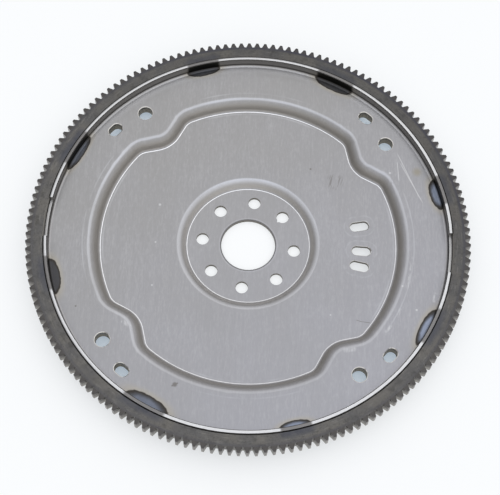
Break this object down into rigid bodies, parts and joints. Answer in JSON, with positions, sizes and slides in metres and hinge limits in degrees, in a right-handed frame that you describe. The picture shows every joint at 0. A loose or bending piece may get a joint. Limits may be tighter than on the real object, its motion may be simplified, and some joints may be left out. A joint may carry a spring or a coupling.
{
  "type": "flexplate",
  "caption": "Pressed steel flexplate with a dished hub, a lobed stiffening step, a turned-up rim, a welded starter ring gear and converter bolt pads.",
  "frame": {"origin": "on the crank axis, at the crank face under the hub", "axes": "+Z along the crank axis, from the crank face towards the rim's open side; +X at the first converter bolt hole, beside the offset crank bolt hole"},
  "size_m": [0.362, 0.362, 0.0251],
  "materials": {
    "plate": "satin rolled sheet with heat tint at the ring welds",
    "gear": "dull hardened steel with a thin brown oxide",
    "pad": "satin sheared steel",
    "weld": "rough weld metal"
  },
  "bodies": {
    "root": {"flex_plate": "plate", "ring_gear": "gear", "converter_pad_1": "pad", "converter_pad_2": "pad", "converter_pad_3": "pad", "converter_pad_4": "pad", "ring_weld_1": "weld", "ring_weld_2": "weld", "ring_weld_3": "weld", "ring_weld_4": "weld", "ring_weld_5": "weld", "ring_weld_6": "weld", "ring_weld_7": "weld", "ring_weld_8": "weld"}
  },
  "joints": []
}
